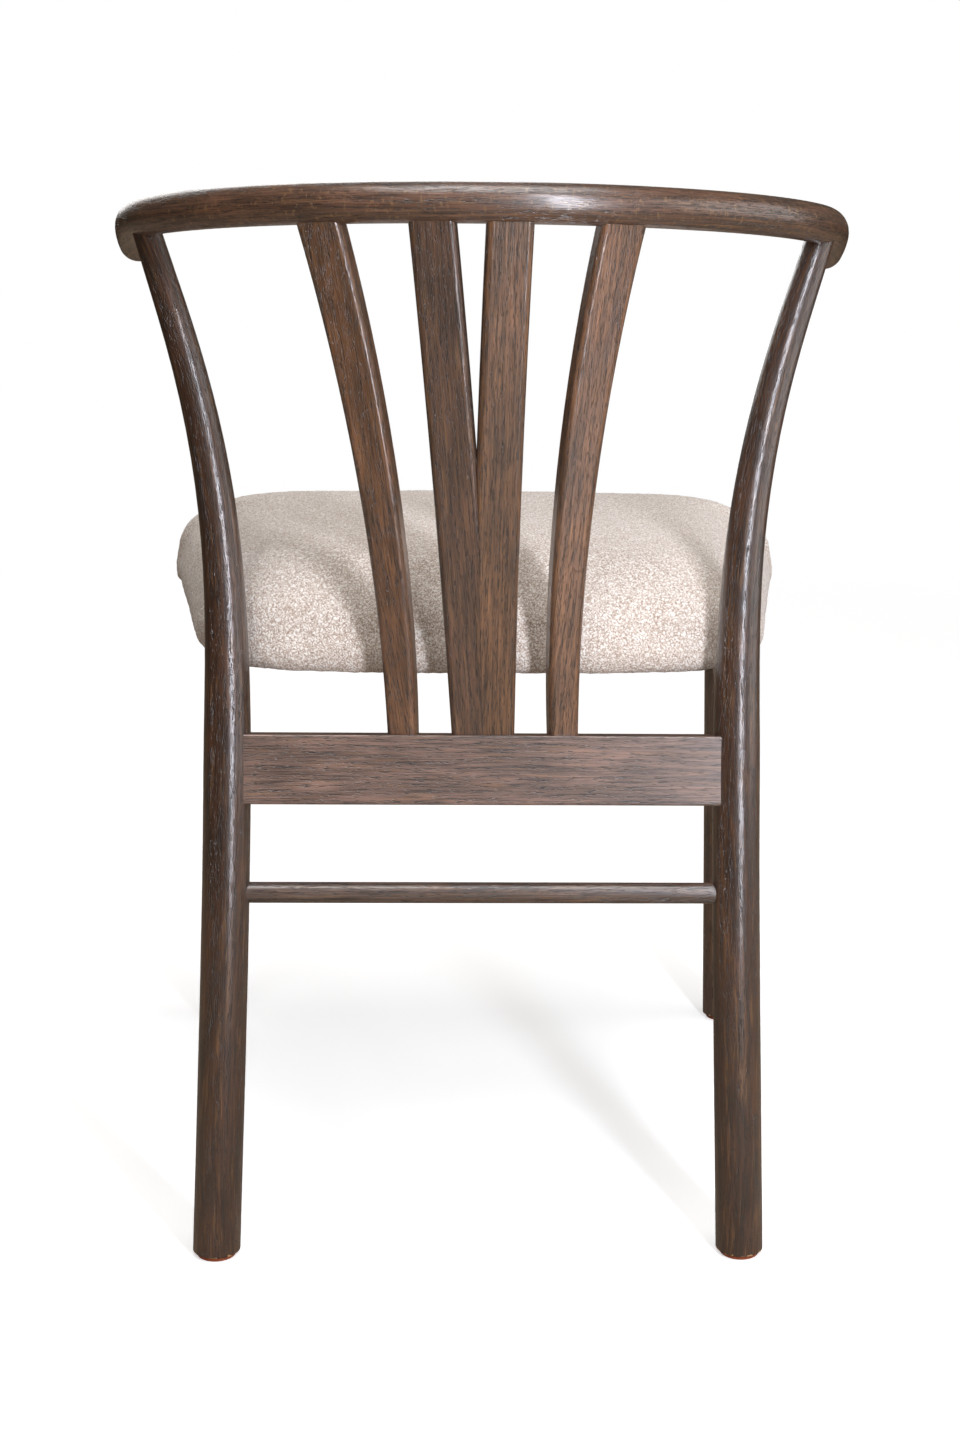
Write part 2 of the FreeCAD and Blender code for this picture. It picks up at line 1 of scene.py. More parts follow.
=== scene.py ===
# %% [markdown]
# # A fan-backed armchair in dark oak and looped wool
# The wooden frame arrives finished from CAD. This lesson gives it its stain, pores and lacquer,
# wraps the seat in wool by simulation, and sets up a plain studio to look at it in.

# %% Load the frame
import math
import bmesh
import bpy
from mathutils import Matrix, Vector, noise


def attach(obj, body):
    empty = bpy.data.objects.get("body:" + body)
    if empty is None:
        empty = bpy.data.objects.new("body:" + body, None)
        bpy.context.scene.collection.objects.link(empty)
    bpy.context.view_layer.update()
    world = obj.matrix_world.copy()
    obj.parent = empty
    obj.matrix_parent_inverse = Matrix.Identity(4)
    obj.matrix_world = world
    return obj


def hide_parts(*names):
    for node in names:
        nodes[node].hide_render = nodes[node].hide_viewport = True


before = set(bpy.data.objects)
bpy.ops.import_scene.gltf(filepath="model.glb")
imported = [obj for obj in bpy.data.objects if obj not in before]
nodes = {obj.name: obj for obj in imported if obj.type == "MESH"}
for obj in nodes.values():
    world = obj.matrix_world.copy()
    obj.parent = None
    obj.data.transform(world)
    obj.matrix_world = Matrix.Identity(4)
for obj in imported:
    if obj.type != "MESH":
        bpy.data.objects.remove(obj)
bpy.context.view_layer.update()
MM = 0.001

# %% [markdown]
# The camera stands behind the chair, a little above the bow, and looks slightly down.
# Its place, angles and lens were solved from the straight edges and feet in the picture,
# so it is written as a position and three angles instead of being aimed by eye.

# %% Camera
PICTURE = (960, 1446)
LENS_PX = 2298.76
CENTRE_PX = (513.61, 718.86)
CAMERA_PLACE = (0.03347, 1.71299, 0.77636)
YAW_PITCH_ROLL = (2.039, 14.369, 0.767)
yaw, pitch, roll = (math.radians(a) for a in YAW_PITCH_ROLL)
look = Vector((-math.sin(yaw) * math.cos(pitch), -math.cos(yaw) * math.cos(pitch),
               -math.sin(pitch)))
right = Vector((-math.cos(yaw), math.sin(yaw), 0))
up = right.cross(look)
cam_x = right * math.cos(roll) + up * math.sin(roll)
cam_y = up * math.cos(roll) - right * math.sin(roll)
camera_data = bpy.data.cameras.new("camera")
camera_data.lens = LENS_PX * camera_data.sensor_width / PICTURE[1]
camera_data.shift_x = (PICTURE[0] / 2 - CENTRE_PX[0]) / PICTURE[1]
camera_data.shift_y = (CENTRE_PX[1] - PICTURE[1] / 2) / PICTURE[1]
camera_data.clip_start = 0.05
camera = bpy.data.objects.new("camera", camera_data)
turn = Matrix((cam_x, cam_y, -look)).transposed().to_4x4()
camera.matrix_world = Matrix.Translation(CAMERA_PLACE) @ turn
bpy.context.scene.collection.objects.link(camera)
bpy.context.scene.camera = camera
print("lens", round(camera_data.lens, 2), "mm")


# %% [markdown]
# Colours are easiest to read as the hex codes of a paint chart, but light is added up in linear
# values. One function turns the first into the second. A second function adds a shader node with
# its settings and links, which keeps each recipe below short. The stops of a colour ramp aren't
# sockets, so a third function sets those.

# %% Helpers for colour and nodes
def paint(code):
    """An sRGB hex code as a linear colour with full alpha."""
    parts = [int(code[i:i + 2], 16) / 255 for i in (1, 3, 5)]
    return [p / 12.92 if p <= 0.04045 else ((p + 0.055) / 1.055) ** 2.4 for p in parts] + [1.0]


def add(tree, kind, inputs=(), **settings):
    """Adds a node. Inputs are values or sockets to link, and settings are the node's own fields."""
    made = tree.nodes.new(kind)
    for field, value in settings.items():
        setattr(made, field, value)
    for socket, value in dict(inputs).items():
        if isinstance(value, bpy.types.NodeSocket):
            tree.links.new(value, made.inputs[socket])
        else:
            made.inputs[socket].default_value = value
    return made


def new_material(name):
    """An empty material and its node tree, ready for a shader."""
    material = bpy.data.materials.new(name)
    material.use_nodes = True
    material.node_tree.nodes.clear()
    return material, material.node_tree


def ramp(tree, value, stops):
    """Turns a pattern into a colour through a few stops of (place, hex code)."""
    made = add(tree, "ShaderNodeValToRGB", {"Fac": value})
    elements = made.color_ramp.elements
    while len(elements) < len(stops):
        elements.new(0.5)
    for element, (place, code) in zip(elements, stops):
        element.position = place
        element.color = paint(code)
    return made.outputs["Color"]


print("mid brown is", [round(c, 3) for c in paint("#7a665c")])


# %% [markdown]
# Wood looks right when its fibres run along each piece. Straight pieces turn the object's
# coordinates until the fibre direction is Z. The back legs are bent, so their coordinates follow
# the bend, and the bow is half an ellipse, so its fibres follow the angle around it.

# %% Fibre coordinates
# A back leg's distance from the middle as a cubic of the height, from the highest power down,
# and how far it leans forward with the square of the height. Both are in metres.
LEG_SIDE = (0.663, -0.417, 0.031, 0.1864)
LEG_LEAN = 0.255
# The ellipse that the bow follows, and how much it rises for each metre towards the back.
BOW_HALF_WIDTH = 247.5 * MM
BOW_DEPTH = 212.0 * MM
BOW_CENTRE_Y = 25.0 * MM
BOW_SLOPE = 0.118


def straight_fibres(direction):
    """Fibres along one direction, for rails, splats and front legs."""
    angles = Vector(direction).normalized().rotation_difference(Vector((0, 0, 1))).to_euler()

    def coordinates(tree):
        place = add(tree, "ShaderNodeTexCoord").outputs["Object"]
        return add(tree, "ShaderNodeMapping",
                   {"Vector": place, "Rotation": angles}).outputs["Vector"]
    return coordinates


def bent_leg_fibres(tree):
    """Fibres that follow the sweep of a back leg: its axis as a curve of the height."""
    place = add(tree, "ShaderNodeTexCoord").outputs["Object"]
    parts = add(tree, "ShaderNodeSeparateXYZ", {"Vector": place}).outputs
    z = parts["Z"]
    side = add(tree, "ShaderNodeMath", {0: parts["X"]}, operation="ABSOLUTE").outputs[0]
    axis = LEG_SIDE[0]
    for term in LEG_SIDE[1:]:
        axis = add(tree, "ShaderNodeMath", {0: axis, 1: z, 2: term},
                   operation="MULTIPLY_ADD").outputs[0]
    across = add(tree, "ShaderNodeMath", {0: side, 1: axis}, operation="SUBTRACT").outputs[0]
    square = add(tree, "ShaderNodeMath", {0: z, 1: z}, operation="MULTIPLY").outputs[0]
    back = add(tree, "ShaderNodeMath", {0: square, 1: LEG_LEAN, 2: parts["Y"]},
               operation="MULTIPLY_ADD").outputs[0]
    made = add(tree, "ShaderNodeCombineXYZ", {"X": across, "Y": back, "Z": z})
    return made.outputs["Vector"]


def bow_fibres(tree):
    """Fibres round the bow: distance along the curve, distance out from it and height above it."""
    place = add(tree, "ShaderNodeTexCoord").outputs["Object"]
    parts = add(tree, "ShaderNodeSeparateXYZ", {"Vector": place}).outputs
    x = add(tree, "ShaderNodeMath", {0: parts["X"], 1: BOW_HALF_WIDTH},
            operation="DIVIDE").outputs[0]
    y = add(tree, "ShaderNodeMath", {0: parts["Y"], 1: BOW_CENTRE_Y},
            operation="SUBTRACT").outputs[0]
    y = add(tree, "ShaderNodeMath", {0: y, 1: BOW_DEPTH}, operation="DIVIDE").outputs[0]
    radius = (BOW_HALF_WIDTH + BOW_DEPTH) / 2
    angle = add(tree, "ShaderNodeMath", {0: x, 1: y}, operation="ARCTAN2").outputs[0]
    along = add(tree, "ShaderNodeMath", {0: angle, 1: radius}, operation="MULTIPLY").outputs[0]
    square = add(tree, "ShaderNodeMath", {0: y, 1: y}, operation="MULTIPLY").outputs[0]
    square = add(tree, "ShaderNodeMath", {0: x, 1: x, 2: square},
                 operation="MULTIPLY_ADD").outputs[0]
    out = add(tree, "ShaderNodeMath", {0: square}, operation="SQRT").outputs[0]
    out = add(tree, "ShaderNodeMath", {0: out, 1: radius}, operation="MULTIPLY").outputs[0]
    height = add(tree, "ShaderNodeMath", {0: parts["Y"], 1: -BOW_SLOPE, 2: parts["Z"]},
                 operation="MULTIPLY_ADD").outputs[0]
    made = add(tree, "ShaderNodeCombineXYZ", {"X": out, "Y": height, "Z": along})
    return made.outputs["Vector"]


print("a back leg stands", round(LEG_SIDE[-1] / MM, 1), "mm from the middle")


# %% [markdown]
# The frame is oak, stained dark and given a thin satin lacquer. Oak is ring porous: each year
# starts with a band of wide pores, which stay open under a thin finish and take up the most stain.
# To the eye that gives three things: soft bands a few millimetres apart, short dark dashes along
# the fibres, and a lacquer gloss that breaks up over the dashes. Real pores are 0.3 mm wide.
# Here they are drawn 0.55 mm wide and 7 mm long, so that they show at the picture's scale.
# The lacquer is the shader's coat. Real lacquer has an IOR near 1.5, and the coat's is raised
# above that until the bright lines on the round legs come near the picture's.

# %% Stained oak
BAND_SPACING = 5.0 * MM
PORE_WIDTH = 0.55 * MM
PORE_LENGTH = 7.0 * MM
FIBRE_WIDTH = 0.9 * MM
FIBRE_LENGTH = 30.0 * MM
BAND_WANDER = 14 * MM
GRAIN_DEPTH = 0.3 * MM
# Width and length of the other streaks, from the slowest to the short flecks of the rays.
DRIFT = (22 * MM, 160 * MM)
PATCH = (13 * MM, 60 * MM)
GOLD_STREAK = (2.4 * MM, 40 * MM)
DARK_STREAK = (0.7 * MM, 35 * MM)
RAY_FLECK = (5 * MM, 2.4 * MM)
# The foot is worn most below the first height and not at all above the second.
WORN_HEIGHTS = (3 * MM, 9 * MM)
SCUFFS_PER_METRE = 180.0
# Each piece is cut from another place in the wood: so far apart, in metres.
CUT_SHIFT = (0.37, 0.21, 0.53)
# The wave texture's own period at a scale of 1.
WAVE_PERIOD = math.pi / 10


def stained_oak(name, fibres, seed, stain, flecks=0.0, worn_foot=False):
    """Dark open-pored oak under satin lacquer. stain is three hex codes from dark to light."""
    material, tree = new_material(name)
    shift = Vector([part * seed for part in CUT_SHIFT])
    wood = add(tree, "ShaderNodeVectorMath", {0: fibres(tree), 1: shift},
               operation="ADD").outputs[0]

    def grain(across, along, detail=2.0):
        """Streaks along the fibres, of about this width and length."""
        place = add(tree, "ShaderNodeMapping",
                    {"Vector": wood, "Scale": (1 / across, 1 / across, 1 / along)})
        return add(tree, "ShaderNodeTexNoise",
                   {"Vector": place.outputs["Vector"], "Scale": 1.0, "Detail": detail,
                    "Roughness": 0.6}).outputs

    def glaze(below, code, pattern, start, full, strength):
        """Lays a colour over the wood where a pattern rises from start to full."""
        share = add(tree, "ShaderNodeMapRange",
                    {"Value": pattern, "From Min": start, "From Max": full,
                     "To Max": strength}).outputs[0]
        return add(tree, "ShaderNodeMix", {0: share, 6: below, 7: paint(code)},
                   data_type="RGBA").outputs[2]

    drift = add(tree, "ShaderNodeVectorMath",
                {0: grain(*DRIFT)["Color"], 1: (0.5, 0.5, 0.5)},
                operation="SUBTRACT").outputs[0]
    bent = add(tree, "ShaderNodeVectorMath", {0: drift, 1: (BAND_WANDER, BAND_WANDER, 0), 2: wood},
               operation="MULTIPLY_ADD").outputs[0]
    bands = add(tree, "ShaderNodeTexWave",
                {"Vector": bent, "Scale": WAVE_PERIOD / BAND_SPACING, "Distortion": 1.5,
                 "Detail": 2.0, "Detail Scale": 0.6},
                wave_type="RINGS", rings_direction="Z", wave_profile="SAW").outputs["Fac"]
    fibre = grain(FIBRE_WIDTH, FIBRE_LENGTH, detail=3.0)["Fac"]
    patch = grain(*PATCH)["Fac"]

    # Pores: dashes that lie closer together at the start of each year's band.
    dashes = grain(PORE_WIDTH, PORE_LENGTH, detail=1.0)["Fac"]
    early = add(tree, "ShaderNodeMapRange",
                {"Value": bands, "To Min": 0.07, "To Max": -0.05}).outputs[0]
    pore = add(tree, "ShaderNodeMath", {0: dashes, 1: early}, operation="ADD").outputs[0]
    open_pore = add(tree, "ShaderNodeMapRange",
                    {"Value": pore, "From Min": 0.58, "From Max": 0.66}).outputs[0]

    # Stain: fibres, broad patches and the bands add up to one tone between dark and light.
    tone = add(tree, "ShaderNodeMath", {0: patch, 1: 0.80}, operation="MULTIPLY").outputs[0]
    tone = add(tree, "ShaderNodeMath", {0: fibre, 1: 0.80, 2: tone},
               operation="MULTIPLY_ADD").outputs[0]
    tone = add(tree, "ShaderNodeMath", {0: tone, 1: 0.37}, operation="SUBTRACT").outputs[0]
    tone = add(tree, "ShaderNodeMath", {0: bands, 1: 0.14, 2: tone},
               operation="MULTIPLY_ADD").outputs[0]
    colour = ramp(tree, tone, [(0.18, stain[0]), (0.50, stain[1]), (0.82, stain[2])])

    # Golden streaks, dark streaks, short golden flecks across the grain, and the pores.
    colour = glaze(colour, "#a9794a", grain(*GOLD_STREAK)["Fac"], 0.54, 0.72, 0.28)
    colour = glaze(colour, "#1c1514", grain(*DARK_STREAK)["Fac"], 0.55, 0.65, 0.70)
    if flecks:
        colour = glaze(colour, "#a37c50", grain(*RAY_FLECK)["Fac"], 0.57, 0.70, flecks)
    colour = glaze(colour, "#1d1613", pore, 0.58, 0.66, 0.75)

    if worn_foot:
        place = add(tree, "ShaderNodeTexCoord").outputs["Object"]
        height = add(tree, "ShaderNodeSeparateXYZ", {0: place}).outputs["Z"]
        scuff = add(tree, "ShaderNodeTexNoise",
                    {"Vector": wood, "Scale": SCUFFS_PER_METRE, "Detail": 2.0}).outputs["Fac"]
        near_floor = add(tree, "ShaderNodeMapRange",
                         {"Value": height, "From Min": WORN_HEIGHTS[0], "From Max": WORN_HEIGHTS[1],
                          "To Min": 0.16, "To Max": -0.3}).outputs[0]
        scuff = add(tree, "ShaderNodeMath", {0: scuff, 1: near_floor}, operation="ADD").outputs[0]
        colour = glaze(colour, "#c79a6c", scuff, 0.58, 0.64, 1.0)

    # Lacquer: it is thin, so fibres and pores show in its surface as they do in the wood's.
    relief = add(tree, "ShaderNodeMath", {0: open_pore, 1: -1.0}, operation="MULTIPLY").outputs[0]
    relief = add(tree, "ShaderNodeMath", {0: fibre, 1: 0.5, 2: relief},
                 operation="MULTIPLY_ADD").outputs[0]
    bump = add(tree, "ShaderNodeBump",
               {"Height": relief, "Strength": 0.75, "Distance": GRAIN_DEPTH}).outputs["Normal"]
    satin = add(tree, "ShaderNodeMapRange", {"Value": fibre, "From Min": 0.3, "From Max": 0.7,
                                             "To Min": 0.36, "To Max": 0.50}).outputs[0]
    shader = add(tree, "ShaderNodeBsdfPrincipled",
                 {"Base Color": colour, "Roughness": satin, "IOR": 1.5, "Coat Weight": 1.0,
                  "Coat Roughness": 0.24, "Coat IOR": 1.75, "Normal": bump, "Coat Normal": bump})
    add(tree, "ShaderNodeOutputMaterial", {"Surface": shader.outputs[0]})
    return material


print("pores", round(PORE_WIDTH / MM, 2), "by", round(PORE_LENGTH / MM, 1), "mm")

# %% [markdown]
# No two boards take a stain alike, so each piece's tones are matched to the picture: the back
# rail is the greyest, the back legs are the darkest, and the four splats all differ. A straight
# piece is given a direction, for legs and splats the way from the foot to the head in
# millimetres, and its fibres run along it. The bow has golden flecks where its cut crosses the
# rays of the oak, and all legs are a little worn at the foot, where the bare wood shows.

# %% Stain the frame
RAIL_STAIN = ("#463730", "#755c50", "#9f7d6d")
STRETCHER_STAIN = ("#382c26", "#5d4a40", "#7e6557")
BOW_STAIN = ("#35251c", "#593e2f", "#795440")
REAR_LEG_STAIN = ("#251810", "#40281a", "#5b3925")
FRONT_STAIN = ("#392c23", "#5f493b", "#816350")
OUTER_LEFT_STAIN = ("#3f2b1d", "#694730", "#8f6141")
INNER_LEFT_STAIN = ("#312219", "#513829", "#6e4c38")
INNER_RIGHT_STAIN = ("#3d2a1c", "#65462f", "#895f40")
OUTER_RIGHT_STAIN = ("#453022", "#735038", "#9c6d4c")
OAK_PIECES = {
    "bow": (bow_fibres, BOW_STAIN),
    "rear_leg_left": (bent_leg_fibres, REAR_LEG_STAIN),
    "rear_leg_right": (bent_leg_fibres, REAR_LEG_STAIN),
    "front_leg_left": (straight_fibres((-14, 20, 409)), FRONT_STAIN),
    "front_leg_right": (straight_fibres((14, 20, 409)), FRONT_STAIN),
    "splat_outer_left": (straight_fibres((55, 40, 355)), OUTER_LEFT_STAIN),
    "splat_inner_left": (straight_fibres((31, 55, 355)), INNER_LEFT_STAIN),
    "splat_inner_right": (straight_fibres((-7, 55, 355)), INNER_RIGHT_STAIN),
    "splat_outer_right": (straight_fibres((-32, 45, 355)), OUTER_RIGHT_STAIN),
    "back_rail": (straight_fibres((1, 0, 0)), RAIL_STAIN),
    "rear_stretcher": (straight_fibres((1, 0, 0)), STRETCHER_STAIN),
    "side_rail_left": (straight_fibres((0.11, -1, 0)), FRONT_STAIN),
    "side_rail_right": (straight_fibres((-0.11, -1, 0)), FRONT_STAIN),
    "front_rail": (straight_fibres((1, 0, 0)), FRONT_STAIN),
}
BOW_FLECKS = 0.35


def dress(node, material):
    """Gives a CAD node its material through the material slots that it already has."""
    for slot in nodes[node].material_slots:
        slot.material = material


for number, (node, (fibres, stain)) in enumerate(OAK_PIECES.items(), start=1):
    dress(node, stained_oak("oak_" + node, fibres, number, stain,
                            flecks=BOW_FLECKS if node == "bow" else 0.0, worn_foot="leg" in node))
print("oak pieces:", len(OAK_PIECES))

# %% [markdown]
# The seat cover is a thick looped wool cloth over foam. Its shape is made the way an upholsterer
# makes it: a block of foam a little smaller than the seat is wrapped, and the wrapping is put
# under tension. The block comes first. It is a trapezoid with round corners and slightly hollow
# front and back edges, drawn up in rings to the bulge and then in over the crown.

# %% Seat block
SEAT_LOW = 410.0 * MM
SEAT_BULGE = 437.0 * MM
SEAT_BACK_Y = 169.5 * MM
SEAT_FRONT_Y = -237.5 * MM
SEAT_BACK_HALF = 194.0 * MM
SEAT_FRONT_HALF = 259.0 * MM
SEAT_CORNER = 58.0 * MM
BACK_SAG = 15.0 * MM
FRONT_SAG = 20.0 * MM
# How far the block stays inside the seat, to leave room for the cloth to swell.
SHRINK = 1.5 * MM
# The rings below the crown: how far each lies inside the widest one, in mm, and its height.
EDGE_RINGS = [(4.5, SEAT_LOW), (0.5, SEAT_LOW + 9 * MM), (0.0, SEAT_LOW + 20 * MM),
              (1.0, SEAT_BULGE)]
# The crown: its height, how round its shoulder is, how far in its rings could go, in mm, and the
# share of that way after which the rest is a flat middle.
CROWN_HEIGHT = 54.0 * MM
CROWN_POWER = 2.6
CROWN_INSET = 160.0
CROWN_SHARE = 0.94
CROWN_STEPS = 9
EDGE_CUTS = 11
CORNER_STEPS = 9
LONG_EDGE = 100 * MM
MERGED = 0.01 * MM
# The half width at which a ring's inset is the full one, a little behind the widest place.
FULL_INSET_HALF = SEAT_FRONT_HALF - 12 * MM


def seat_block(name):
    """The seat's block, drawn up ring by ring from a rounded trapezoid."""
    shape = bmesh.new()
    corners = [(SEAT_BACK_HALF, SEAT_BACK_Y), (-SEAT_BACK_HALF, SEAT_BACK_Y),
               (-SEAT_FRONT_HALF, SEAT_FRONT_Y), (SEAT_FRONT_HALF, SEAT_FRONT_Y)]
    shape.faces.new([shape.verts.new((x, y, 0)) for x, y in corners])
    bmesh.ops.bevel(shape, geom=list(shape.verts), offset=SEAT_CORNER, offset_type="OFFSET",
                    affect="VERTICES", segments=CORNER_STEPS, profile=0.5, material=-1)
    long_edges = [e for e in shape.edges if e.calc_length() > LONG_EDGE]
    bmesh.ops.subdivide_edges(shape, edges=long_edges, cuts=EDGE_CUTS)
    for v in shape.verts:
        if v.co.y > SEAT_BACK_Y - SEAT_CORNER:
            v.co.y -= BACK_SAG * (v.co.x / SEAT_BACK_HALF) ** 2
        if v.co.y < SEAT_FRONT_Y + SEAT_CORNER:
            v.co.y += FRONT_SAG * (v.co.x / SEAT_FRONT_HALF) ** 2

    rings = list(EDGE_RINGS)
    for step in range(1, CROWN_STEPS + 1):
        share = CROWN_SHARE * (step / CROWN_STEPS) ** 2
        rise = (1 - (1 - share) ** CROWN_POWER) ** (1 / CROWN_POWER)
        rings.append((1.0 + CROWN_INSET * share, SEAT_BULGE + CROWN_HEIGHT * rise))

    face = list(shape.faces)[0]
    flat = [v.co.copy() for v in face.verts]
    middle_y = (SEAT_BACK_Y + SEAT_FRONT_Y) / 2
    half_depth = (SEAT_BACK_Y - SEAT_FRONT_Y) / 2

    def place(verts, inset, height):
        """Moves a ring of vertices to its height, and in towards the middle."""
        for v, p in zip(verts, flat):
            sx = 1 - (inset * MM + SHRINK) / FULL_INSET_HALF
            sy = 1 - (inset * MM + SHRINK) / half_depth
            v.co = Vector((p.x * sx, middle_y + (p.y - middle_y) * sy, height))

    place(list(face.verts), *rings[0])
    for inset, height in rings[1:]:
        made = bmesh.ops.extrude_discrete_faces(shape, faces=[face])
        face = made["faces"][0]
        place(list(face.verts), inset, height - SHRINK)
    bottom = [e for e in shape.edges if e.is_boundary]
    if bottom:
        bmesh.ops.contextual_create(shape, geom=bottom)
    bmesh.ops.remove_doubles(shape, verts=list(shape.verts), dist=MERGED)
    bmesh.ops.recalc_face_normals(shape, faces=list(shape.faces))
    mesh = bpy.data.meshes.new(name)
    shape.to_mesh(mesh)
    shape.free()
    block = bpy.data.objects.new(name, mesh)
    bpy.context.scene.collection.objects.link(block)
    return block


seat = seat_block("seat_cover_wool")
print("block faces", len(seat.data.polygons))

# %% [markdown]
# The block is remeshed into even squares, so that the cloth stretches alike everywhere. It is held
# at the bottom, where a cover is stapled, and the simulator blows it up against its own
# stretch until the crown and the edges are round. No point may move farther than a few
# millimetres, because a tight cover doesn't balloon. Where that limit cuts in, it leaves small
# creases, and a light smoothing takes them out again.

# %% Wrap the block in cloth
SQUARE = 5.0 * MM
HELD_BELOW = SEAT_LOW + 6 * MM
PRESSURE = 3.0
FARTHEST = 4.0 * MM
CLOTH_STEPS = 20


def keep(piece):
    """Turns a piece's modifiers into its own mesh."""
    bpy.context.view_layer.update()
    graph = bpy.context.evaluated_depsgraph_get()
    done = bpy.data.meshes.new_from_object(piece.evaluated_get(graph))
    piece.modifiers.clear()
    piece.data = done


def swell(piece):
    """Lets a block swell under its own cloth, no point farther than the limit."""
    start = [v.co.copy() for v in piece.data.vertices]
    held = piece.vertex_groups.new(name="held")
    held.add([v.index for v in piece.data.vertices if v.co.z < HELD_BELOW], 1.0, "REPLACE")
    cloth = piece.modifiers.new("wrap", "CLOTH")
    cloth.settings.use_pressure = True
    cloth.settings.uniform_pressure_force = PRESSURE
    cloth.settings.vertex_group_mass = "held"
    cloth.settings.effector_weights.gravity = 0
    cloth.settings.tension_stiffness = 15
    cloth.settings.compression_stiffness = 15
    cloth.settings.bending_stiffness = 4
    cloth.collision_settings.use_collision = False
    for step in range(1, CLOTH_STEPS + 1):
        bpy.context.scene.frame_set(step)
    keep(piece)
    bpy.context.scene.frame_set(1)
    moved = 0.0
    for v, was in zip(piece.data.vertices, start):
        way = v.co - was
        if way.length > FARTHEST:
            v.co = was + way * (FARTHEST / way.length)
        moved = max(moved, (v.co - was).length)
    print("cloth moved at most", round(moved / MM, 2), "mm")


even = seat.modifiers.new("even", "REMESH")
even.mode = "VOXEL"
even.voxel_size = SQUARE
keep(seat)
swell(seat)
calm = seat.modifiers.new("calm", "SMOOTH")
calm.factor = 0.5
calm.iterations = 8
finer = seat.modifiers.new("finer", "SUBSURF")
finer.levels = finer.render_levels = 1
keep(seat)
print("seat vertices", len(seat.data.vertices))

# %% [markdown]
# Looped wool is never quite even: the foam under it dips a little and the loops stand up by half
# a millimetre. Both are small vertex moves along the normals, a slow one and a quick one.

# %% Loops in the shape
DIP_WIDTH = 70 * MM
DIP_DEPTH = 0.6 * MM
LOOP_WIDTH = 3.2 * MM
LOOP_HEIGHT = 0.55 * MM
outward = [v.normal.copy() for v in seat.data.vertices]
for v, normal in zip(seat.data.vertices, outward):
    slow = noise.noise(v.co / DIP_WIDTH) * DIP_DEPTH
    quick = noise.noise(v.co / LOOP_WIDTH) * LOOP_HEIGHT
    v.co = v.co + normal * (slow + quick)
for face in seat.data.polygons:
    face.use_smooth = True
print("loops stand up by", round(LOOP_HEIGHT / MM, 2), "mm at most")


# %% [markdown]
# The cloth is boucle, a weave of off-white yarn with loops about 2 mm across. A noise is bent by
# a second noise, and the winding lines where it crosses its middle value are the gaps between the
# curls of yarn. A finer noise gives the hairs. The colour follows the same height as the bump, so
# it turns brown low down in the gaps: that is painted shade between the curls. Brownish flecks
# some 5 mm wide keep the white from looking flat, and a little sheen gives the soft edge that
# loose fibres have.

# %% Boucle cloth
CURL = 2.0 * MM
FLECK = 5 * MM
CURL_DEPTH = 0.6 * MM


def boucle(name):
    """Looped wool cloth: rough, pale curls and painted shade in the gaps between them."""
    material, tree = new_material(name)
    place = add(tree, "ShaderNodeTexCoord").outputs["Object"]
    wander = add(tree, "ShaderNodeTexNoise", {"Vector": place, "Scale": 0.5 / CURL, "Detail": 2.0})
    swirl = add(tree, "ShaderNodeVectorMath",
                {0: wander.outputs["Color"], 1: (CURL, CURL, CURL), 2: place},
                operation="MULTIPLY_ADD").outputs[0]
    yarn = add(tree, "ShaderNodeTexNoise",
               {"Vector": swirl, "Scale": 1 / CURL, "Detail": 1.0}).outputs["Fac"]
    gap = add(tree, "ShaderNodeMath", {0: yarn, 1: 0.5}, operation="SUBTRACT").outputs[0]
    gap = add(tree, "ShaderNodeMath", {0: gap}, operation="ABSOLUTE").outputs[0]
    hairs = add(tree, "ShaderNodeTexNoise", {"Vector": swirl, "Scale": 3.5 / CURL, "Detail": 2.0,
                                             "Roughness": 0.65}).outputs["Fac"]
    height = add(tree, "ShaderNodeMath", {0: gap, 1: 2.6}, operation="MULTIPLY").outputs[0]
    height = add(tree, "ShaderNodeMath", {0: hairs, 1: 0.30, 2: height},
                 operation="MULTIPLY_ADD").outputs[0]
    # Painted shade: the ramp turns the low places, the gaps between the curls, brown.
    colour = ramp(tree, height, [(0.14, "#9c8271"), (0.26, "#d3c2b4"), (0.42, "#efe5dc"),
                                 (0.70, "#fcf6f0")])
    fleck = add(tree, "ShaderNodeTexNoise", {"Vector": place, "Scale": 1 / FLECK, "Detail": 3.0,
                                             "Roughness": 0.7}).outputs["Fac"]
    fleck = add(tree, "ShaderNodeMapRange", {"Value": fleck, "From Min": 0.50, "From Max": 0.72,
                                             "To Max": 0.30}).outputs[0]
    colour = add(tree, "ShaderNodeMix", {0: fleck, 6: colour, 7: paint("#c4ad9b")},
                 data_type="RGBA").outputs[2]
    bump = add(tree, "ShaderNodeBump", {"Height": height, "Strength": 0.6, "Distance": CURL_DEPTH})
    shader = add(tree, "ShaderNodeBsdfPrincipled",
                 {"Base Color": colour, "Roughness": 0.95, "IOR": 1.45, "Sheen Weight": 0.3,
                  "Sheen Roughness": 0.5, "Normal": bump.outputs["Normal"]})
    add(tree, "ShaderNodeOutputMaterial", {"Surface": shader.outputs[0]})
    return material


seat.data.materials.clear()
seat.data.materials.append(boucle("boucle_wool"))
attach(seat, "root")
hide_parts("seat_cover", "seat_foam")
print("seat wears", seat.data.materials[0].name)


# %% [markdown]
# Under the seat the parts are plain. The corner blocks and dowels are unfinished beech, and so is
# the face of the plywood board. There is a black dust cloth, the screws are zinc-plated, and
# rust-red pads keep the feet from marking the floor. The last three are fine-grained stuffs in
# two tones, so one recipe serves them all with a grain size of its own for each.

# %% Hidden and small parts
BEECH_WIDTH = 2 * MM
BEECH_LENGTH = 40 * MM
BEECH_DEPTH = 0.2 * MM
GRIT_DEPTH = 0.1 * MM


